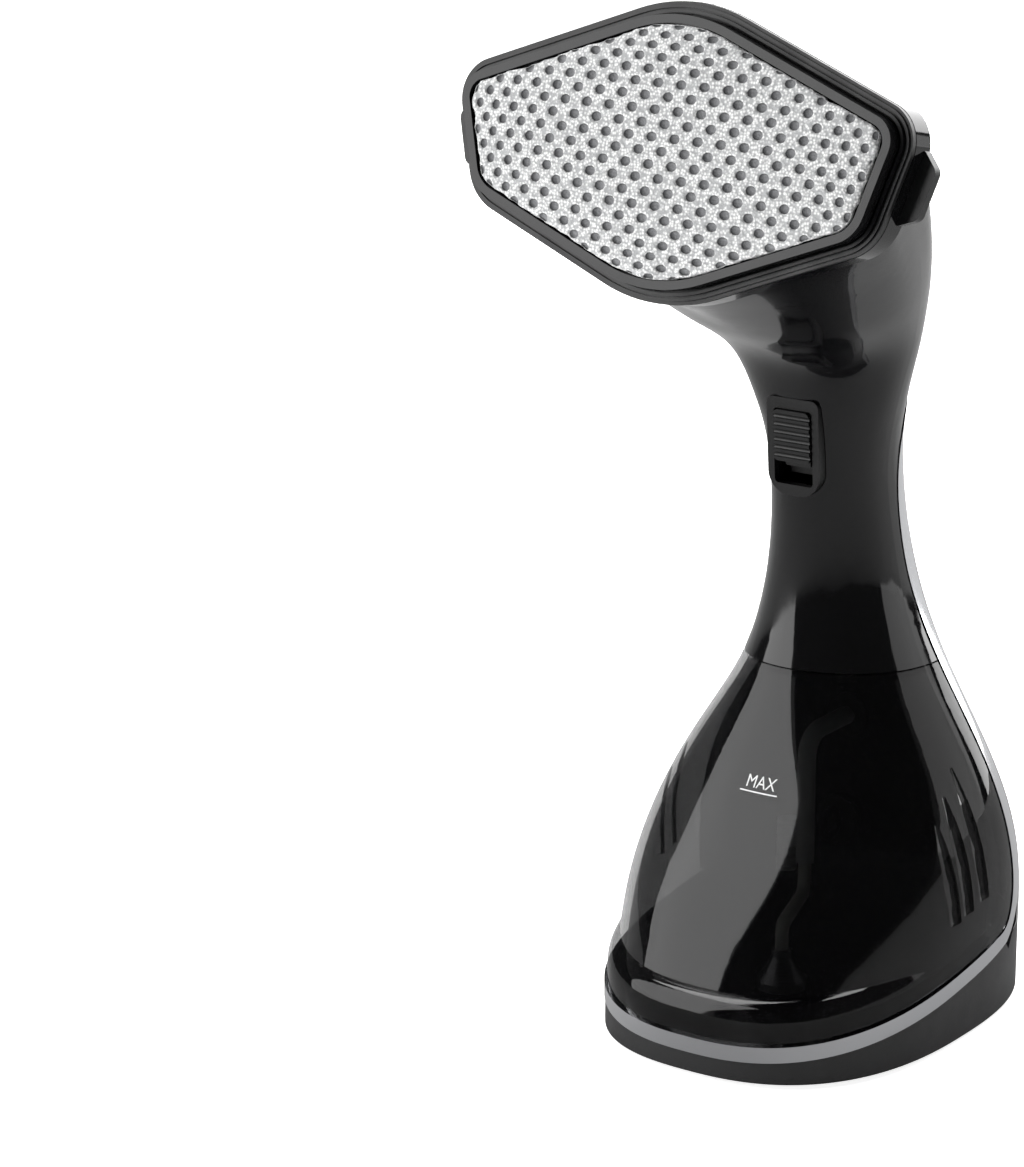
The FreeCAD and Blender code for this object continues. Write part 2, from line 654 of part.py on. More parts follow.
def tube_path(points, bend):
    """Straight runs joined by tangent arcs."""
    vectors = [Vector(*point) for point in points]
    edges = []
    start = vectors[0]
    for before, here, after in zip(vectors, vectors[1:], vectors[2:]):
        to_before = (before - here).normalize()
        to_after = (after - here).normalize()
        half = to_before.getAngle(to_after) / 2.0
        reach = min(bend / math.tan(half), 0.45 * (before - here).Length, 0.45 * (after - here).Length)
        radius = reach * math.tan(half)
        first = here + to_before * reach
        last = here + to_after * reach
        middle = here + (to_before + to_after).normalize() * (radius / math.sin(half) - radius)
        edges.append(Part.makeLine(start, first))
        edges.append(Part.Arc(first, middle, last).toShape())
        start = last
    edges.append(Part.makeLine(start, vectors[-1]))
    return Part.Wire(edges)


def rod(path, radius):
    """Round solid along a path."""
    start = path.Edges[0]
    tangent = start.tangentAt(start.FirstParameter)
    circle = Part.Wire(Part.makeCircle(radius, start.valueAt(start.FirstParameter), tangent))
    return path.makePipeShell([circle], True, True)


def along_y(radius, low_y, high_y, x, z):
    return Part.makeCylinder(radius, high_y - low_y, Vector(x, low_y, z), Vector(0, 1, 0))


def make_outlet():
    back = dim("tank_back_y")
    rear = back + dim("tank_back_thick")
    x, z = dim("tube_x"), dim("outlet_height")
    flange = along_y(dim("outlet_flange"), back - 1.6, back, x, z)
    barrel = along_y(dim("outlet_radius"), back, rear + dim("outlet_length"), x, z)
    bore = along_y(dim("outlet_bore"), back - 5.0, rear + dim("outlet_length") + 1.0, x, z)
    ring_y = rear + dim("outlet_length") - 2.4
    major = dim("outlet_radius") + 0.5 * dim("ring_minor")
    ring = Part.makeTorus(major, dim("ring_minor"), Vector(x, ring_y, z), Vector(0, 1, 0))
    feature("tank_outlet", biggest(flange.fuse(barrel).cut(bore).cut(ring)))
    feature("outlet_ring", ring)
    seat_y = dim("bay_wall_y") + dim("bay_wall_thick")
    inner = dim("outlet_radius") + dim("seat_play")
    seat = along_y(dim("seat_radius"), seat_y, seat_y + dim("seat_length"), x, z)
    seat = seat.cut(along_y(inner, seat_y - 1.0, seat_y + dim("seat_length") - 1.6, x, z))
    feature("coupling_seat", seat)
    wall_solid = skin(dim("bay_wall_inset")).common(slab(dim("bay_wall_y"), seat_y))
    low = Part.makeBox(2 * HALF_SPAN, 60.0, dim("foot_floor"), Vector(-HALF_SPAN, 0, 0))
    top = side_region(([(0.0, seam_level(0.0, -1.0)), (60.0, seam_level(60.0, -1.0)),
                        (60.0, TOP_Z), (0.0, TOP_Z)], False))
    wall_solid = wall_solid.cut(low).cut(top).cut(along_y(inner, 0.0, 60.0, x, z))
    feature("bay_wall", biggest(wall_solid))


def make_pickup():
    x, y = dim("tube_x"), dim("tube_y")
    start = (x, dim("tank_back_y") - 1.6, dim("outlet_height"))
    path = tube_path([start, (x, y, dim("outlet_height")), (x, y, dim("tube_foot"))], 7.0)
    feature("pickup_tube", rod(path, dim("tube_radius")).cut(rod(path, dim("tube_bore"))))
    clip = Part.makeCylinder(dim("clip_radius"), dim("clip_height"), Vector(dim("clip_x"), y, dim("clip_foot")))
    count = int(dim("clip_height") / dim("clip_pitch"))
    for step in range(count):
        level = dim("clip_foot") + (step + 0.5) * dim("clip_pitch")
        groove = Part.makeTorus(dim("clip_radius"), 0.6, Vector(dim("clip_x"), y, level))
        clip = clip.cut(groove)
    web_x = dim("clip_x")
    web = Part.makeBox(x - web_x, 1.6, 4.0, Vector(web_x, y - 0.8, dim("tube_foot") + 4.0))
    tube = Part.makeCylinder(dim("tube_radius"), 60.0, Vector(x, y, dim("tube_foot") - 10.0))
    feature("tube_clip", biggest(clip.fuse(web).cut(tube)))
    weight_top = dim("weight_foot") + dim("weight_height")
    end = (dim("weight_x"), dim("weight_y"), weight_top)
    hose = tube_path([(x, y, dim("tube_foot") - 0.3), (x, y, dim("tube_foot") - 9.0),
                      (dim("weight_x"), dim("weight_y"), weight_top + 7.0), end], 6.0)
    feature("pickup_hose", rod(hose, dim("hose_radius")))


def make_weight():
    """Bell-shaped filter weight, turned about its own axis."""
    body = doc.addObject("PartDesign::Body", "FilterWeight")
    sketch = body.newObject("Sketcher::SketchObject", "WeightProfile")
    plane = [item for item in body.Origin.OriginFeatures if item.Role == "XZ_Plane"][0]
    sketch.AttachmentSupport = [(plane, "")]
    sketch.MapMode = "FlatFace"
    radius, neck, height = dim("weight_radius"), dim("weight_neck"), dim("weight_height")
    corners = [(0, 0), (radius, 0), (radius, 0.22 * height), (0.62 * radius, 0.55 * height),
               (neck, 0.82 * height), (neck, height), (0, height)]
    for (ax, ay), (bx, by) in zip(corners, corners[1:] + corners[:1]):
        sketch.addGeometry(Part.LineSegment(Vector(ax, ay, 0), Vector(bx, by, 0)), False)
    turn = body.newObject("PartDesign::Revolution", "WeightTurn")
    turn.Profile = sketch
    turn.ReferenceAxis = (sketch, ["V_Axis"])
    turn.Angle = 360.0
    body.Tip = turn
    bind(body, Placement__Base__x="Dimensions.weight_x", Placement__Base__y="Dimensions.weight_y",
         Placement__Base__z="Dimensions.weight_foot")
    node("filter_weight", body)


def make_plug():
    back = dim("tank_back_y")
    rear = back + dim("tank_back_thick")
    x, z = dim("plug_x"), dim("plug_z")
    plug = along_y(dim("plug_radius"), back - 1.4, rear, x, z)
    flange = along_y(dim("plug_flange"), rear, rear + 1.8, x, z)
    tab = Part.makeBox(5.0, 1.8, 6.0, Vector(x - 2.5, rear, z + dim("plug_flange") - 2.0))
    hook_y = back - 1.4 - dim("hook_major")
    hook = Part.makeTorus(dim("hook_major"), dim("hook_minor"), Vector(x, hook_y, z), Vector(1, 0, 0))
    feature("filler_plug", plug.fuse(flange).fuse(tab).fuse(hook))


# ---- head ----------------------------------------------------------------------------

def head_feature(name, shape):
    feature(name, shape, head_placement)


def make_head():
    cloth = dim("cloth_thick")
    head_feature("fabric_pad", head_prism(0.0, cloth, 0.0))
    frame_back = dim("frame_back")
    frame = head_prism(dim("frame_lip"), frame_back, dim("frame_front"))
    frame = frame.cut(head_prism(0.15, cloth, -1.0))
    frame = frame.cut(head_prism(1.0 - dim("plate_inset"), frame_back + 1.0, cloth - 1.0))
    head_feature("pad_frame", frame)

    seat = dim("rim_front") + dim("rim_flange")
    rim = head_prism(dim("rim_offset"), seat, dim("rim_front"))
    rim = rim.fuse(head_prism(dim("frame_lip") + 1.2, dim("rim_depth"), seat))
    for inner, outer, rise in ((3.1, 3.9, 1.1), (4.5, 5.2, 0.6)):
        ridge = head_prism(outer, dim("rim_front") + 0.2, dim("rim_front") - rise)
        rim = rim.fuse(ridge.cut(head_prism(inner, dim("rim_front") + 1.0, 0.0)))
    rim = rim.cut(head_prism(dim("frame_lip") + 0.5, 9.0, 0.0))
    rim = rim.cut(head_prism(-2.0, dim("rim_depth") + 1.0, 0.0))
    head_feature("head_rim", rim)

    inset = dim("plate_inset")
    plate_back = dim("plate_front") + dim("plate_thick")
    chamber_back = plate_back + dim("chamber_depth")
    plate = head_prism(-inset, chamber_back, dim("plate_front"))
    plate = plate.cut(head_prism(-inset - 2.4, chamber_back + 1.0, plate_back))
    for x, v in steam_holes():
        plate = plate.cut(Part.makeCylinder(dim("steam_hole_radius"), 20.0, Vector(x, v, -15.0)))
    head_feature("steam_plate", plate)

    gasket_back = chamber_back + dim("gasket_thick")
    gasket = head_prism(-inset - 0.4, gasket_back, chamber_back)
    head_feature("chamber_gasket", gasket.cut(head_prism(-inset - 4.2, 30.0, 0.0)))

    flange_back = gasket_back + dim("heater_flange")
    heater_back = gasket_back + dim("heater_thick")
    heater = head_prism(-inset - 0.4, flange_back, gasket_back)
    heater = heater.fuse(head_prism(-dim("heater_inset"), heater_back, flange_back))
    head_feature("heater_block", heater)
    cover_back = heater_back + dim("cover_thick")
    head_feature("heater_cover", head_prism(-dim("heater_inset") - 2.0, cover_back, heater_back))

    bend, half_span = dim("element_bend"), dim("element_half_span")
    level = -cover_back - dim("element_radius")
    legs = Part.Wire([Part.makeLine(Vector(half_span, bend, level), Vector(-half_span, bend, level)),
                      Part.Arc(Vector(-half_span, bend, level), Vector(-half_span - bend, 0, level),
                               Vector(-half_span, -bend, level)).toShape(),
                      Part.makeLine(Vector(-half_span, -bend, level), Vector(half_span, -bend, level))])
    head_feature("heating_element", rod(legs, dim("element_radius")))
    body = Part.makeCylinder(dim("thermostat_radius"), dim("thermostat_height"),
                             Vector(-8.0, 0, -cover_back - dim("thermostat_height")))
    head_feature("thermostat", body)
    fuse = Part.makeCylinder(dim("fuse_radius"), dim("fuse_length"),
                             Vector(dim("fuse_x"), 0, -cover_back - dim("fuse_radius")), Vector(1, 0, 0))
    head_feature("thermal_fuse", fuse)
    make_catches()


def steam_holes():
    """Three staggered rows of steam holes."""
    pitch = dim("steam_hole_pitch")
    places = []
    for row, count in ((1, 5), (0, 8), (-1, 7)):
        for step in range(count):
            places.append(((step - (count - 1) / 2.0) * pitch, row * pitch - 2.0))
    return places


def make_catches():
    """Flat ears on the short sides of the head that hold clip-on attachments."""
    ux, uv = dim("pad_upper_x"), dim("pad_upper_v")
    lx, lv = dim("pad_lower_x"), -dim("pad_lower_v")
    along = Vector(ux - lx, uv - lv, 0).normalize()
    out = Vector(along.y, -along.x, 0)
    wall_point = Vector(ux, uv, 0) + out * dim("collar_offset")
    reach = out.dot(wall_point)
    middle, half, tip = dim("catch_middle"), dim("catch_length") / 2.0, dim("catch_tip") / 2.0
    points = [(half + 1.2, -3.0, 0.1), (half, 0.4, 0.1), (tip, dim("catch_reach"), dim("catch_corner")),
              (-tip, dim("catch_reach"), dim("catch_corner")), (-half, 0.4, 0.1), (-half - 1.2, -3.0, 0.1)]
    corners = []
    for step, rise, radius in points:
        place = along * (middle + step) + out * (reach + rise)
        corners.append((place.x, place.y, radius))
    collar = head_prism(dim("collar_offset"), 30.0, 0.0)
    for side, name in ((1, "accessory_catch_right"), (-1, "accessory_catch_left")):
        outline = [(side * x, v, radius) for x, v, radius in corners]
        face = Part.Face(rounded_wire(outline, -dim("catch_depth") - dim("catch_thick")))
        ear = face.extrude(Vector(0, 0, dim("catch_thick"))).cut(collar)
        head_feature(name, biggest(ear))


# ---- switch --------------------------------------------------------------------------

def rounded_box(half_width, low_v, high_v, back, front, corner):
    outline = [(-half_width, high_v, corner), (half_width, high_v, corner),
               (half_width, low_v, corner), (-half_width, low_v, corner)]
    face = Part.Face(rounded_wire(outline, back))
    return face.extrude(Vector(0, 0, front - back))


def make_switch():
    proud, plate = dim("bezel_proud"), dim("bezel_plate")
    high = dim("window_half_height")
    bezel = shield(0.0, -dim("bezel_depth"), proud)
    bezel = bezel.cut(shield(-dim("bezel_wall"), -dim("bezel_depth") - 1.0, proud - plate))
    bezel = bezel.cut(rounded_box(dim("window_half_width"), -high, high, -10.0, 10.0, 1.2))
    feature("switch_bezel", bezel, switch_placement)

    carrier_front = proud - plate - 0.3
    carrier_back = carrier_front - dim("carrier_thick")
    top = high - 0.2
    foot = top - dim("slider_height")
    pad = rounded_box(dim("slider_half_width"), foot, top, carrier_front, proud + dim("slider_proud"), 1.4)
    pitch = dim("slider_height") / (dim("slider_ribs") + 0.6)
    for step in range(int(dim("slider_ribs"))):
        level = foot + (step + 0.8) * pitch
        groove = Part.makeCylinder(dim("slider_groove"), 30.0,
                                   Vector(-15.0, level, proud + dim("slider_proud") + 0.15), Vector(1, 0, 0))
        pad = pad.cut(groove)
    carrier = rounded_box(dim("carrier_half_width"), dim("carrier_foot"), top, carrier_back, carrier_front, 0.6)
    lip = rounded_box(dim("lip_half_width"), foot - dim("lip_drop"), 0.0, carrier_back, carrier_front, 0.6)
    feature("switch_slider", biggest(pad.fuse(carrier).fuse(lip)), switch_placement)

    micro = Part.makeBox(dim("micro_width"), dim("micro_height"), dim("micro_depth"),
                         Vector(-dim("micro_width") / 2.0, -dim("micro_height") / 2.0,
                                carrier_back - 1.2 - dim("micro_depth")))
    feature("micro_switch", micro, switch_placement)


# ---- works inside the body and hardware under the foot --------------------------------

def bound_cylinder(name, radius, height, x, y, z, label):
    obj = doc.addObject("Part::Cylinder", name)
    bind(obj, Radius=radius, Height=height, Placement__Base__x=x, Placement__Base__y=y, Placement__Base__z=z)
    if label:
        node(label, obj)
    return obj


def bound_box(name, length, width, height, x, y, z):
    obj = doc.addObject("Part::Box", name)
    bind(obj, Length=length, Width=width, Height=height, Placement__Base__x=x, Placement__Base__y=y,
         Placement__Base__z=z)
    return node(name, obj)


def make_hardware():
    signs = [(sx, sy) for sy in ("-", "") for sx in ("-", "")]
    for number, (sx, sy) in enumerate(signs, start=1):
        x = "%sDimensions.pad_offset_x" % sx
        y = "%sDimensions.pad_offset_y" % sy
        bound_cylinder("FootPad%d" % number, "Dimensions.pad_radius - 0.1", "Dimensions.pad_sink", x, y, "0",
                       "foot_pad_%d" % number)
        x = "%sDimensions.screw_offset_x" % sx
        y = "%sDimensions.screw_offset_y" % sy
        head = bound_cylinder("ScrewHead%d" % number, "Dimensions.screw_head_radius",
                              "Dimensions.pad_sink - Dimensions.pad_height", x, y, "Dimensions.pad_height", "")
        shank = bound_cylinder("ScrewShank%d" % number, "Dimensions.screw_shank_radius",
                               "Dimensions.screw_length", x, y, "Dimensions.pad_sink", "")
        screw = doc.addObject("Part::Fuse", "BaseScrew%d" % number)
        screw.Base = head
        screw.Tool = shank
        node("base_screw_%d" % number, screw)


def make_works():
    bound_cylinder("Pump", "Dimensions.pump_radius", "Dimensions.pump_height", "Dimensions.pump_x",
                          "Dimensions.pump_y", "Dimensions.pump_z", "pump_body")
    outer = bound_cylinder("CoilOuter", "Dimensions.coil_radius", "Dimensions.coil_height", "Dimensions.pump_x",
                           "Dimensions.pump_y", "Dimensions.pump_z + 6", "")
    inner = bound_cylinder("CoilInner", "Dimensions.pump_radius", "Dimensions.coil_height + 2", "Dimensions.pump_x",
                           "Dimensions.pump_y", "Dimensions.pump_z + 5", "")
    coil = doc.addObject("Part::Cut", "PumpCoil")
    coil.Base = outer
    coil.Tool = inner
    node("pump_coil", coil)
    bound_box("circuit_board", "2 * Dimensions.board_half_width", "Dimensions.board_thick",
              "Dimensions.board_high - Dimensions.board_low", "-Dimensions.board_half_width",
              "Dimensions.board_y", "Dimensions.board_low")
    bound_box("terminal_block", "Dimensions.terminal_width", "Dimensions.terminal_depth",
              "Dimensions.terminal_height", "-Dimensions.terminal_width / 2", "Dimensions.terminal_y",
              "Dimensions.foot_floor")
    for side, name in (("-", "tank_snap_left"), ("", "tank_snap_right")):
        bound_box(name, "Dimensions.snap_width", "Dimensions.snap_depth", "Dimensions.snap_height",
                  "%sDimensions.snap_x - Dimensions.snap_width / 2" % side,
                  "Dimensions.bay_wall_y - Dimensions.snap_depth", "Dimensions.snap_z")


def make_hoses():
    seat_back = dim("bay_wall_y") + dim("bay_wall_thick") + dim("seat_length")
    pump_top = dim("pump_z") + dim("pump_height")
    inlet = tube_path([(dim("tube_x"), seat_back, dim("outlet_height")),
                       (dim("tube_x"), dim("pump_y"), dim("outlet_height")),
                       (dim("tube_x"), dim("pump_y"), pump_top)], 5.0)
    feature("inlet_hose", rod(inlet, dim("outlet_hose_radius")))
    x = -6.5
    cover_back = (dim("plate_front") + dim("plate_thick") + dim("chamber_depth") + dim("gasket_thick")
                  + dim("heater_thick") + dim("cover_thick"))
    end = head_placement.multVec(Vector(x, -14.0, -cover_back))
    approach = head_placement.multVec(Vector(x, -14.0, -cover_back - 14.0))
    outlet = tube_path([(x, dim("pump_y"), pump_top), (x, dim("pump_y"), pump_top + 12.0),
                        (x, 33.0, 92.0), (x, 24.0, 120.0), (x, 17.0, 150.0),
                        (x, 6.0, 184.0), (x, -16.0, 216.0), tuple(approach), tuple(end)], 14.0)
    feature("outlet_hose", rod(outlet, dim("outlet_hose_radius")))


def make_gland():
    """Cord bush at the back of the foot, with a blind mouth."""
    wall_y = dim("foot_half_depth") + 0.5
    z = dim("gland_z")
    bush = along_y(dim("gland_radius"), wall_y - dim("gland_in"), wall_y, 0.0, z)
    flange = Part.makeCone(dim("gland_flange"), dim("gland_radius"), dim("gland_out"), Vector(0, wall_y, z),
                           Vector(0, 1, 0))
    mouth_y = wall_y + dim("gland_out") - dim("gland_mouth_depth")
    mouth = along_y(dim("gland_mouth"), mouth_y, mouth_y + 10.0, 0.0, z)
    feature("cord_gland", bush.fuse(flange).cut(mouth))


def make_cover_screws():
    """Two recessed screws in the back of the rear cover."""
    cover = nodes["rear_cover"]
    radius = dim("cover_screw_radius")
    shape = cover.Shape
    for number, z in enumerate((dim("cover_screw_low"), dim("cover_screw_high")), start=1):
        line = Part.makeLine(Vector(0, 20.0, z), Vector(0, BACK_Y, z))
        surface_y = line.common(body_solid).BoundBox.YMax
        shape = shape.cut(along_y(radius + 0.2, surface_y - 6.0, surface_y + 5.0, 0.0, z))
        screw = along_y(radius, surface_y - 1.4 - dim("cover_screw_length"), surface_y - 1.4, 0.0, z)
        slot = Part.makeBox(2.0 * radius, 1.0, 0.7, Vector(-radius, surface_y - 2.2, z - 0.35))
        feature("cover_screw_%d" % number, screw.cut(slot))
    cover.Shape = shape


make_trim()
make_foot()
make_deck()
make_rear_cover()
make_tank()
make_handle()
make_outlet()
make_pickup()
make_weight()
make_plug()
make_head()
make_switch()
make_hardware()
make_works()
make_hoses()
make_gland()
make_cover_screws()
doc.recompute()

for obj in doc.Objects:
    if "Invalid" in obj.State or "Error" in obj.State:
        raise RuntimeError("object failed: " + obj.Label)
for name, obj in nodes.items():
    if obj.Shape.isNull() or not obj.Shape.isValid() or len(obj.Shape.Solids) != 1:
        raise RuntimeError("sub-part is not one valid solid: " + name)
    obj.Shape.exportStep("parts/%s.step" % name)
    print("%-24s %10.1f mm3" % (name, obj.Shape.Volume))
print(len(nodes), "sub-parts")
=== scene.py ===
import json
import math

import bmesh
import bpy
from mathutils import Matrix, Vector
from mathutils.bvhtree import BVHTree


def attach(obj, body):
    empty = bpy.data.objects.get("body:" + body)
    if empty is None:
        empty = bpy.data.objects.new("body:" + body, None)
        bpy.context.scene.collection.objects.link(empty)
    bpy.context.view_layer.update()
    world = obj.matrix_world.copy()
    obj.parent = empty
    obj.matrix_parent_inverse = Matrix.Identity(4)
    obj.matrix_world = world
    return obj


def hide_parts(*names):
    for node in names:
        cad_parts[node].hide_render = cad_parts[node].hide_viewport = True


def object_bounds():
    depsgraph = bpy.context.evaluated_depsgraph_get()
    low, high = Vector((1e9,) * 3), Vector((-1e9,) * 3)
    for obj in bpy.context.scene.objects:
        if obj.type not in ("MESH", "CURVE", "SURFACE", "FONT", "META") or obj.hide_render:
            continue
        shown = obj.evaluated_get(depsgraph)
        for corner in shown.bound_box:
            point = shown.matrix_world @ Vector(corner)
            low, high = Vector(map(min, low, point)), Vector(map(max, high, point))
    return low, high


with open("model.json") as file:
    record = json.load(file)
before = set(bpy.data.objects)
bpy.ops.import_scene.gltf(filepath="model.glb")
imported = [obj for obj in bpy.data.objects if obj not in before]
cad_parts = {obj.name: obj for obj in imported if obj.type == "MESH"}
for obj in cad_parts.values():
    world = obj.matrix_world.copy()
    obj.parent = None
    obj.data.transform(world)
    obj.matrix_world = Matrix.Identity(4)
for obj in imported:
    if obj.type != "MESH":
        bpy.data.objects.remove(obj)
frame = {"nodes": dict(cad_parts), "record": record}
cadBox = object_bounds()
cadNodes = frame["nodes"]
mm = 0.001
print("stage: frame loaded,", len(cadNodes), "nodes")


def toLinear(hexColour):
    channels = [int(hexColour[i:i + 2], 16) / 255 for i in (1, 3, 5)]
    return [c / 12.92 if c <= 0.04045 else ((c + 0.055) / 1.055) ** 2.4 for c in channels] + [1.0]


def addNode(tree, kind, settings=None, links=None):
    node = tree.nodes.new(kind)
    for key, value in (settings or {}).items():
        if isinstance(key, str) and key in node.bl_rna.properties:
            setattr(node, key, value)
        else:
            node.inputs[key].default_value = value
    for key, source in (links or {}).items():
        tree.links.new(source, node.inputs[key])
    return node


def startMaterial(name, surface):
    material = bpy.data.materials.new(name)
    material.use_nodes = True
    tree = material.node_tree
    tree.nodes.clear()
    shader = addNode(tree, "ShaderNodeBsdfPrincipled", surface)
    addNode(tree, "ShaderNodeOutputMaterial", {}, {"Surface": shader.outputs[0]})
    place = addNode(tree, "ShaderNodeTexCoord").outputs["Object"]
    return material, tree, shader, place


def finishMesh(name, bm):
    mesh = bpy.data.meshes.new(name)
    bm.to_mesh(mesh)
    bm.free()
    for face in mesh.polygons:
        face.use_smooth = True
    piece = bpy.data.objects.new(name, mesh)
    bpy.context.collection.objects.link(piece)
    return piece


def bakeModifiers(piece):
    depsgraph = bpy.context.evaluated_depsgraph_get()
    mesh = bpy.data.meshes.new_from_object(piece.evaluated_get(depsgraph))
    piece.modifiers.clear()
    piece.data = mesh
    return piece


studio = {
    "azimuth": 35.2, "elevation": 16.2, "distance": 1.2103, "across": 0.08664, "lift": 0.1202,
    "lens": 129.56, "sensor": 36.0, "nearest": 0.05,
    "floorSize": 3.6, "floorDrop": 0.0002, "floorColour": "#f6f6f6", "floorGlow": 0.95,
    "floorMirrored": "#8e8e8e",     # the floor as a gloss surface mirrors it, darker than it is seen
    "worldFill": 0.035,
}

# turn in degrees to the right of the camera's side, then metres: height, distance, width, tall;
# then watts and the height that the panel looks at
panels = {
    "leftPanel": (-82, 0.75, 1.2, 1.25, 2.1, 24, 0.14),     # broad soft reflection down the left
    "rightPanel": (100, 0.6, 1.5, 1.0, 1.6, 5, 0.14),
    "trimPanel": (150, 0.55, 1.3, 1.5, 1.9, 36, 0.14),      # lights the chrome strip at the side
    "topPanel": (180, 2.3, 0.7, 2.2, 1.4, 60, 0.0),
}


def viewAxes(azimuth, elevation):
    a, e = math.radians(azimuth), math.radians(elevation)
    right = Vector((math.cos(a), math.sin(a), 0))
    back = Vector((math.sin(a) * math.cos(e), -math.cos(a) * math.cos(e), math.sin(e)))
    return right, back.cross(right), back


def findOutput(tree):
    return next(node for node in tree.nodes if node.type == "OUTPUT_MATERIAL")


def makeCamera():
    right, up, back = viewAxes(studio["azimuth"], studio["elevation"])
    camera = bpy.data.objects.new("camera", bpy.data.cameras.new("camera"))
    bpy.context.collection.objects.link(camera)
    turn = Matrix((right, up, back)).transposed().to_4x4()
    eye = back * studio["distance"] + up * studio["lift"] - right * studio["across"]
    camera.matrix_world = Matrix.Translation(eye) @ turn
    camera.data.lens = studio["lens"]
    camera.data.sensor_width = studio["sensor"]
    camera.data.clip_start = studio["nearest"]
    bpy.context.scene.camera = camera


def softBox(name, turn, height, away, width, tall, power, aim):
    angle = math.radians(studio["azimuth"] + turn)
    spot = Vector((math.sin(angle) * away, -math.cos(angle) * away, height))
    light = bpy.data.lights.new(name, "AREA")
    light.shape = "RECTANGLE"
    light.size, light.size_y, light.energy = width, tall, power
    lamp = bpy.data.objects.new(name, light)
    turned = (Vector((0, 0, aim)) - spot).to_track_quat("-Z", "Y").to_matrix().to_4x4()
    lamp.matrix_world = Matrix.Translation(spot) @ turned
    bpy.context.collection.objects.link(lamp)


def makeStudio():
    bm = bmesh.new()
    bmesh.ops.create_grid(bm, x_segments=8, y_segments=8, size=studio["floorSize"] / 2)
    bmesh.ops.translate(bm, verts=bm.verts, vec=(0, 0, cadBox[0].z - studio["floorDrop"]))
    floor = finishMesh("studioFloor", bm)
    surface = {"Roughness": 0.9, "Specular IOR Level": 0.1}
    paper, tree, shader, place = startMaterial("seamlessBackgroundPaper", surface)
    shader.inputs["Base Color"].default_value = toLinear(studio["floorColour"])
    shader.inputs["Emission Color"].default_value = toLinear(studio["floorColour"])
    shader.inputs["Emission Strength"].default_value = studio["floorGlow"]
    dark = addNode(tree, "ShaderNodeBsdfDiffuse", {"Color": toLinear(studio["floorMirrored"])})
    ray = addNode(tree, "ShaderNodeLightPath")
    both = addNode(tree, "ShaderNodeMixShader", {},
                   {0: ray.outputs["Is Glossy Ray"], 1: shader.outputs[0], 2: dark.outputs[0]})
    tree.links.new(both.outputs[0], findOutput(tree).inputs["Surface"])
    floor.data.materials.append(paper)
    world = bpy.data.worlds.new("studioAir")
    bpy.context.scene.world = world
    world.use_nodes = True
    tree = world.node_tree
    tree.nodes.clear()
    white = (1, 1, 1, 1)
    seen = addNode(tree, "ShaderNodeBackground", {"Color": white, "Strength": 1.0})
    fill = addNode(tree, "ShaderNodeBackground", {"Color": white, "Strength": studio["worldFill"]})
    ray = addNode(tree, "ShaderNodeLightPath")
    both = addNode(tree, "ShaderNodeMixShader", {},
                   {0: ray.outputs["Is Camera Ray"], 1: fill.outputs[0], 2: seen.outputs[0]})
    addNode(tree, "ShaderNodeOutputWorld", {}, {"Surface": both.outputs[0]})
    for name, panel in panels.items():
        softBox(name, *panel)
    bpy.context.scene.view_settings.view_transform = "Standard"
    bpy.context.scene.view_settings.look = "None"


makeCamera()
makeStudio()
print("stage: camera and lights")


# colour and its darker patches, roughness range, grain size in mm and its depth in mm
finishes = {
    # high-gloss injection-moulded ABS: near black, a clear reflection with faint sink waviness
    "glossMouldedAbs": dict(colour="#0a0a0b", patch="#060607", rough=(0.05, 0.09), patchSize=28,
                            grain=7.0, depth=0.006, surface={"IOR": 1.53}),
    # spark-textured ABS: dark charcoal, the grain scatters the light
    "sparkTexturedAbs": dict(colour="#262627", patch="#1d1d1e", rough=(0.42, 0.55), patchSize=16,
                             grain=0.55, depth=0.05, surface={"IOR": 1.53}),
    # glass-filled nylon near the heat: black with a dull sheen and a fine pebble
    "glassFilledNylon": dict(colour="#0a0a0b", patch="#060607", rough=(0.3, 0.42), patchSize=9,
                             grain=0.45, depth=0.03, surface={"IOR": 1.53}),
    # satin moulded frame
    "satinMouldedFrame": dict(colour="#111112", patch="#0b0b0c", rough=(0.14, 0.22), patchSize=12,
                              grain=0.5, depth=0.012, surface={"IOR": 1.5}),
    # smoke-tinted SAN: glossy see-through wall, so the inside shows faintly
    "smokeTintedSan": dict(colour="#050506", patch="#030304", rough=(0.035, 0.06), patchSize=30,
                           grain=9.0, depth=0.006, surface={"IOR": 1.57, "Alpha": 0.66}),
    # natural polypropylene: milky, waxy
    "naturalPolypropylene": dict(colour="#b9bab8", patch="#a6a7a5", rough=(0.32, 0.42), patchSize=6,
                                 grain=0.8, depth=0.02, surface={"IOR": 1.49}),
    # cast silicone hose: cloudy and soft
    "castSilicone": dict(colour="#c4c4bd", patch="#aeaea6", rough=(0.35, 0.5), patchSize=5,
                         grain=0.6, depth=0.02, surface={"IOR": 1.41}),
    # black moulded rubber
    "mouldedRubber": dict(colour="#1a1a1a", patch="#121212", rough=(0.6, 0.75), patchSize=6,
                          grain=0.35, depth=0.04, surface={"IOR": 1.52}),
    # glass-fibre laminate with green solder mask
    "solderMaskLaminate": dict(colour="#1d4a2a", patch="#173d22", rough=(0.3, 0.4), patchSize=4,
                               grain=0.5, depth=0.02, surface={"IOR": 1.5}),
    # pressed steatite insulator
    "pressedSteatite": dict(colour="#cfcabd", patch="#beb8aa", rough=(0.6, 0.7), patchSize=3,
                            grain=0.4, depth=0.03, surface={"IOR": 1.6}),
}


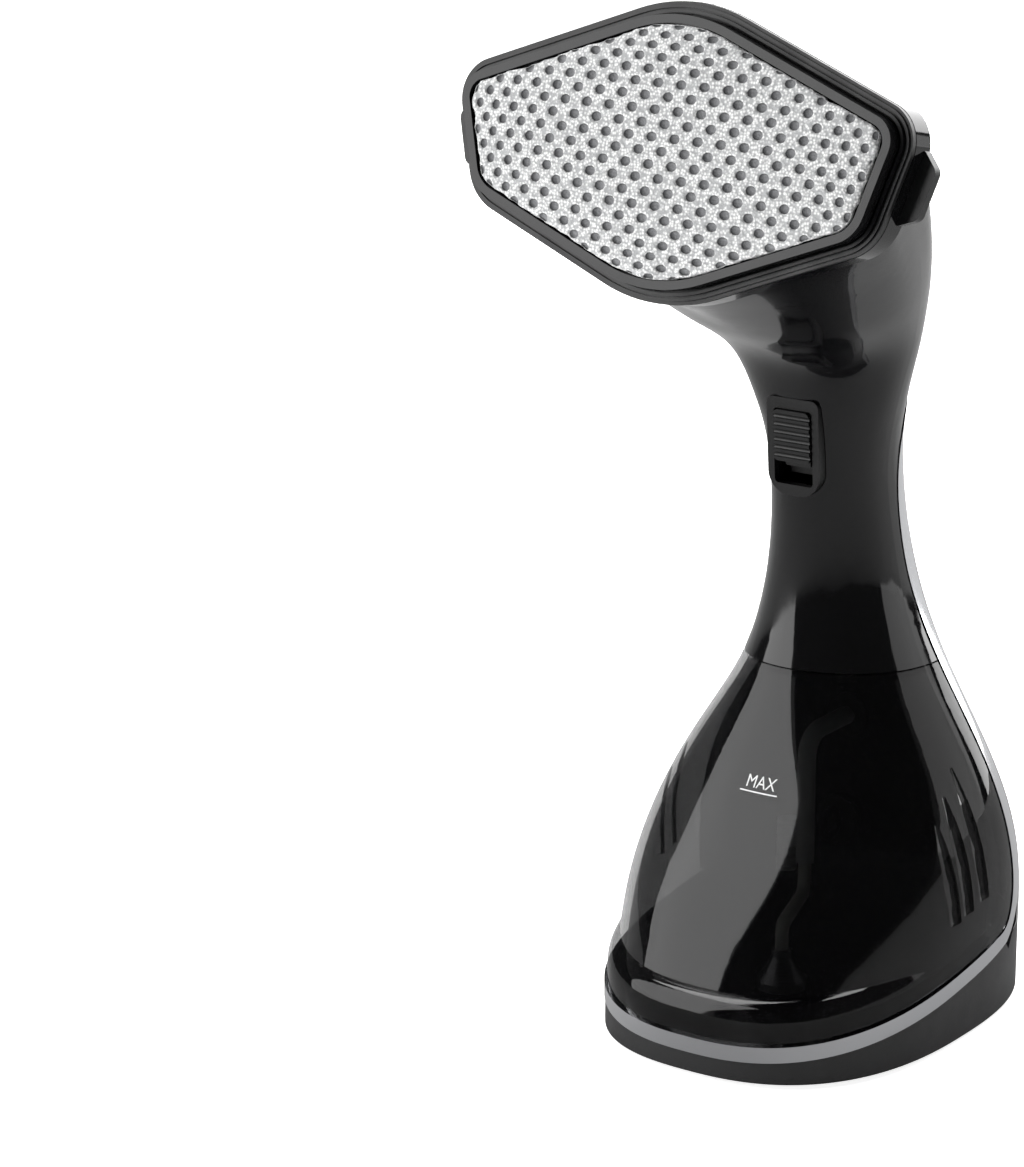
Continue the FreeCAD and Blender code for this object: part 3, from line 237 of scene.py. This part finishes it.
def grainBump(tree, place, size, depth):
    noise = addNode(tree, "ShaderNodeTexNoise", {"Scale": 1 / (size * mm), "Detail": 3.0, "Roughness": 0.55},
                    {"Vector": place})
    return addNode(tree, "ShaderNodeBump", {"Strength": 1.0, "Distance": depth * mm},
                   {"Height": noise.outputs[0]})


def patchRange(tree, place, size, low, high):
    patches = addNode(tree, "ShaderNodeTexNoise", {"Scale": 1 / (size * mm), "Detail": 4.0},
                      {"Vector": place})
    spread = addNode(tree, "ShaderNodeMapRange",
                     {"From Min": 0.3, "From Max": 0.7, "To Min": low, "To Max": high},
                     {"Value": patches.outputs[0]})
    return patches, spread


def blendColours(tree, amount, first, second):
    tint = addNode(tree, "ShaderNodeMix", {"data_type": "RGBA"}, {0: amount})
    tint.inputs[6].default_value = toLinear(first)
    tint.inputs[7].default_value = toLinear(second)
    return tint.outputs[2]


def mouldedFinish(name, look):
    material, tree, shader, place = startMaterial(name, look["surface"])
    patches, rough = patchRange(tree, place, look["patchSize"], *look["rough"])
    tint = blendColours(tree, patches.outputs[0], look["colour"], look["patch"])
    bump = grainBump(tree, place, look["grain"], look["depth"])
    tree.links.new(tint, shader.inputs["Base Color"])
    tree.links.new(rough.outputs[0], shader.inputs["Roughness"])
    tree.links.new(bump.outputs[0], shader.inputs["Normal"])
    return material


def platedChrome():
    # bright chromium on ABS: mirror with a slight haze that varies
    material, tree, shader, place = startMaterial("platedChrome", {"Metallic": 1.0})
    shader.inputs["Base Color"].default_value = toLinear("#e4e5e8")
    patches, rough = patchRange(tree, place, 18, 0.07, 0.14)
    bump = grainBump(tree, place, 6.0, 0.004)
    tree.links.new(rough.outputs[0], shader.inputs["Roughness"])
    tree.links.new(bump.outputs[0], shader.inputs["Normal"])
    return material


def castAluminium():
    # die-cast and bead-blasted: dull grey with a fine pitted skin
    material, tree, shader, place = startMaterial("castAluminium", {"Metallic": 1.0})
    patches, rough = patchRange(tree, place, 5, 0.38, 0.55)
    tint = blendColours(tree, patches.outputs[0], "#9fa0a2", "#838487")
    bump = grainBump(tree, place, 0.4, 0.06)
    tree.links.new(tint, shader.inputs["Base Color"])
    tree.links.new(rough.outputs[0], shader.inputs["Roughness"])
    tree.links.new(bump.outputs[0], shader.inputs["Normal"])
    return material


def turnedMetal(name, colour, pitch):
    # lathe-turned or drawn metal: fine rings up the axis
    material, tree, shader, place = startMaterial(name, {"Metallic": 1.0})
    shader.inputs["Base Color"].default_value = toLinear(colour)
    rings = addNode(tree, "ShaderNodeTexWave",
                    {"bands_direction": "Z", "Scale": 0.3 / (pitch * mm), "Distortion": 1.5},
                    {"Vector": place})
    rough = addNode(tree, "ShaderNodeMapRange", {"To Min": 0.22, "To Max": 0.38},
                    {"Value": rings.outputs[0]})
    bump = addNode(tree, "ShaderNodeBump", {"Distance": 0.02 * mm}, {"Height": rings.outputs[0]})
    tree.links.new(rough.outputs[0], shader.inputs["Roughness"])
    tree.links.new(bump.outputs[0], shader.inputs["Normal"])
    return material


plastics = {name: mouldedFinish(name, look) for name, look in finishes.items()}
slotFinish = {
    "housing_black": plastics["glossMouldedAbs"],
    "foot_charcoal": plastics["sparkTexturedAbs"],
    "trim_chrome": platedChrome(),
    "tank_smoke": plastics["smokeTintedSan"],
    "matte_black": plastics["glassFilledNylon"],
    "frame_grey": plastics["satinMouldedFrame"],
    "plate_metal": castAluminium(),
    "seal_rubber": plastics["mouldedRubber"],
    "hose_clear": plastics["castSilicone"],
    "tube_white": plastics["naturalPolypropylene"],
    "weight_steel": turnedMetal("turnedStainless", "#a9aaac", 0.3),
    "screw_steel": turnedMetal("zincPlatedScrew", "#8f9092", 0.25),
    "board_green": plastics["solderMaskLaminate"],
    "coil_copper": turnedMetal("enamelledCopper", "#a5613a", 0.4),
    "insulator": plastics["pressedSteatite"],
}


def dressCadNodes():
    slotOf = {row["node"]: row["material_slot"] for row in frame["record"]["subparts"]}
    for name, node in cadNodes.items():
        material = slotFinish.get(slotOf[name])
        if material is None:
            continue
        if not node.material_slots:
            node.data.materials.append(material)
        for slot in node.material_slots:
            slot.material = material


dressCadNodes()
print("stage: finishes on the hard parts")


pad = {
    "tilt": 11.9,            # lean of the head's face, degrees
    "weld": 0.01, "flatten": 0.12, "depth": 2.0,    # starts a little thinner than the frame allows
    "voxel": 1.7, "pressure": 4.0, "swellCap": 1.1, "shrink": 0.55, "heldBelow": 1.6,
    "pitch": 7.0, "rowStep": 3.5,   # staggered openings, mm
    "openWide": 1.65, "openTall": 1.32, "openDepth": 1.1, "lipHeight": 0.16,
    "squeeze": 0.10, "lipAt": 1.35, "lipSpread": 0.28,
    # the grey of the openings' floor is painted shade, the darker ring round their edge a painted shadow
    "yarn": "#f3f3f2", "yarnShade": "#a9aaab", "shadedWell": "#8f9092", "wellEdgeShadow": "#2c2d2f",
    "loop": 0.85, "fuzz": 0.35, "yarnDepth": 0.25,      # one knitted loop and its fibres, mm
}


def padPlane():
    t = math.radians(pad["tilt"])
    out = Vector((0, -math.cos(t), math.sin(t)))
    up = Vector((0, math.sin(t), math.cos(t)))
    points = [v.co for v in cadNodes["fabric_pad"].data.vertices]
    front = max(p.dot(out) for p in points)
    heights = [p.dot(up) for p in points]
    middle = out * front + up * (max(heights) + min(heights)) / 2
    halfWidth = max(p.x for p in points)
    halfHeight = (max(heights) - min(heights)) / 2
    return middle, out, up, halfWidth, halfHeight


def opening(x, v, halfWidth, halfHeight):
    # distance from the nearest knitted opening's middle, 1 at its edge
    x = x * (1 + pad["squeeze"] * (x / halfWidth) ** 4) / mm
    v = v * (1 + pad["squeeze"] * (v / halfHeight) ** 4) / mm
    best = math.inf
    row = round(v / pad["rowStep"])
    for r in (row - 1, row, row + 1):
        shift = 0.5 * pad["pitch"] * (r % 2)
        column = round((x - shift) / pad["pitch"])
        dx = x - shift - column * pad["pitch"]
        dv = v - r * pad["rowStep"]
        best = min(best, math.hypot(dx / pad["openWide"], dv / pad["openTall"]))
    return best


def smoothStep(low, high, value):
    part = min(1.0, max(0.0, (value - low) / (high - low)))
    return part * part * (3 - 2 * part)


def swellPad(piece, middle, out):
    # the face puffs up under slight pressure while its edge is held by the frame
    start = [v.co.copy() for v in piece.data.vertices]
    held = piece.vertex_groups.new(name="heldEdge")
    below = -pad["heldBelow"] * mm
    held.add([v.index for v in piece.data.vertices if (v.co - middle).dot(out) < below], 1.0, "REPLACE")
    cloth = piece.modifiers.new("swell", "CLOTH")
    cloth.settings.use_pressure = True
    cloth.settings.uniform_pressure_force = pad["pressure"]
    cloth.settings.effector_weights.gravity = 0
    cloth.settings.vertex_group_mass = "heldEdge"
    scene = bpy.context.scene
    for step in range(1, 21):
        scene.frame_set(step)
    bakeModifiers(piece)
    scene.frame_set(1)
    cap = pad["swellCap"] * mm
    for vertex, rest in zip(piece.data.vertices, start):
        move = vertex.co - rest
        if move.length > cap:
            vertex.co = rest + move * (cap / move.length)


def knittedMaterial():
    # warp-knitted spacer mesh: white yarn loops round open wells, with painted shade between the loops,
    # painted shade on the floor of each well where it goes down and a painted shadow ring at its edge
    surface = {"Sheen Weight": 0.25, "Sheen Roughness": 0.5, "Specular IOR Level": 0.25}
    material, tree, shader, place = startMaterial("warpKnittedMesh", surface)
    shadedWell = addNode(tree, "ShaderNodeAttribute", {"attribute_name": "shadedWell"}).outputs["Fac"]
    loops = addNode(tree, "ShaderNodeTexVoronoi",
                    {"feature": "F1", "Scale": 1 / (pad["loop"] * mm), "Randomness": 0.75},
                    {"Vector": place})
    fuzz = addNode(tree, "ShaderNodeTexNoise", {"Scale": 1 / (pad["fuzz"] * mm), "Detail": 4.0},
                   {"Vector": place})
    shade = addNode(tree, "ShaderNodeMapRange", {"From Min": 0.15, "From Max": 0.62},
                    {"Value": loops.outputs["Distance"]})
    yarn = blendColours(tree, shade.outputs[0], pad["yarn"], pad["yarnShade"])
    # painted shadow ring at each opening's edge, blending to painted shade on its floor
    ring = addNode(tree, "ShaderNodeMapRange", {"From Min": 0.35, "From Max": 1.0}, {"Value": shadedWell})
    floor = blendColours(tree, ring.outputs[0], pad["wellEdgeShadow"], pad["shadedWell"])
    inside = addNode(tree, "ShaderNodeMapRange", {"From Min": 0.18, "From Max": 0.42}, {"Value": shadedWell})
    colour = addNode(tree, "ShaderNodeMix", {"data_type": "RGBA"}, {0: inside.outputs[0], 6: yarn, 7: floor})
    height = addNode(tree, "ShaderNodeMath", {"operation": "MULTIPLY_ADD", 1: -1.0},
                     {0: loops.outputs["Distance"], 2: fuzz.outputs[0]})
    bump = addNode(tree, "ShaderNodeBump", {"Strength": 1.0, "Distance": pad["yarnDepth"] * mm},
                   {"Height": height.outputs[0]})
    rough = addNode(tree, "ShaderNodeMapRange", {"To Min": 0.75, "To Max": 0.95},
                    {"Value": fuzz.outputs[0]})
    tree.links.new(colour.outputs[2], shader.inputs["Base Color"])
    tree.links.new(rough.outputs[0], shader.inputs["Roughness"])
    tree.links.new(bump.outputs[0], shader.inputs["Normal"])
    return material


def makePad():
    middle, out, up, halfWidth, halfHeight = padPlane()
    bm = bmesh.new()
    bm.from_mesh(cadNodes["fabric_pad"].data)
    bmesh.ops.remove_doubles(bm, verts=bm.verts, dist=pad["weld"] * mm)
    for vertex in bm.verts:      # start a little smaller, so that the swelling fills the frame
        level = (vertex.co - middle).dot(out)
        vertex.co -= out * (level + pad["depth"] * mm) * pad["flatten"]
        vertex.co.x *= 1 - pad["shrink"] * mm / halfWidth
    piece = finishMesh("knittedPad", bm)
    remesh = piece.modifiers.new("even", "REMESH")
    remesh.mode = "VOXEL"
    remesh.voxel_size = pad["voxel"] * mm
    bakeModifiers(piece)
    swellPad(piece, middle, out)
    finer = piece.modifiers.new("finer", "SUBSURF")
    finer.levels = finer.render_levels = 2
    bakeModifiers(piece)
    # how far each point goes down into an opening; the pad's colour uses it to place painted shade
    shadedWell = piece.data.attributes.new("shadedWell", "FLOAT", "POINT")
    normals = [v.normal.copy() for v in piece.data.vertices]
    for vertex, normal in zip(piece.data.vertices, normals):
        offset = vertex.co - middle
        x, v = offset.x, offset.dot(up)
        facing = smoothStep(0.35, 0.8, normal.dot(out))
        distance = opening(x, v, halfWidth, halfHeight)
        down = (1 - smoothStep(0.55, 1.15, distance)) * facing
        lip = math.exp(-((distance - pad["lipAt"]) / pad["lipSpread"]) ** 2) * facing
        vertex.co += out * (pad["lipHeight"] * lip - pad["openDepth"] * down) * mm
        shadedWell.data[vertex.index].value = down
    for face in piece.data.polygons:
        face.use_smooth = True
    piece.data.materials.clear()
    piece.data.materials.append(knittedMaterial())
    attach(piece, "bonnet")
    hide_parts("fabric_pad")
    print("stage: knitted pad,", len(piece.data.polygons), "faces")


makePad()


mark = {
    "text": "MAX", "letter": 4.4, "height": 73.3, "lineBelow": 1.0, "lineHalf": 6.0,
    "lineWide": 0.34, "thick": 0.04, "lineSegments": 24, "longestEdge": 1.2,
    "castFrom": 0.05,      # metres in front of the whole part
}


def makeMark():
    # laid on the tank's curved front, a hair proud of it
    tank = BVHTree.FromObject(cadNodes["tank_shell"], bpy.context.evaluated_depsgraph_get())
    curve = bpy.data.curves.new("fillLetters", "FONT")
    curve.body = mark["text"]
    curve.size = mark["letter"] * mm
    curve.align_x = "CENTER"
    letters = bpy.data.objects.new("fillLetters", curve)
    bpy.context.collection.objects.link(letters)
    evaluated = letters.evaluated_get(bpy.context.evaluated_depsgraph_get())
    mesh = bpy.data.meshes.new_from_object(evaluated)
    bpy.data.objects.remove(letters)
    bm = bmesh.new()
    bm.from_mesh(mesh)
    bar = bmesh.ops.create_grid(bm, x_segments=mark["lineSegments"], y_segments=1, size=1.0)["verts"]
    bmesh.ops.scale(bm, verts=bar, vec=(mark["lineHalf"] * mm, mark["lineWide"] * mm / 2, 1))
    bmesh.ops.translate(bm, verts=bar, vec=(0, -mark["lineBelow"] * mm, 0))
    longEdges = [e for e in bm.edges if e.calc_length() > mark["longestEdge"] * mm]
    bmesh.ops.subdivide_edges(bm, edges=longEdges, cuts=2)
    bmesh.ops.triangulate(bm, faces=bm.faces)
    for vertex in bm.verts:
        x, z = vertex.co.x, mark["height"] * mm + vertex.co.y
        start = Vector((x, cadBox[0].y - mark["castFrom"], z))
        hit = tank.ray_cast(start, Vector((0, 1, 0)))[0]
        vertex.co = hit - Vector((0, mark["thick"] * mm, 0))
    bmesh.ops.recalc_face_normals(bm, faces=bm.faces)
    piece = finishMesh("fillMark", bm)
    # pad-printed ink: thin flat white, a little uneven
    ink, tree, shader, place = startMaterial("padPrintedInk", {"IOR": 1.5})
    patches, rough = patchRange(tree, place, 1.5, 0.4, 0.6)
    tint = blendColours(tree, patches.outputs[0], "#e9e9e9", "#d2d2d2")
    tree.links.new(tint, shader.inputs["Base Color"])
    tree.links.new(rough.outputs[0], shader.inputs["Roughness"])
    piece.data.materials.append(ink)
    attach(piece, "tank")
    print("stage: fill mark")


makeMark()
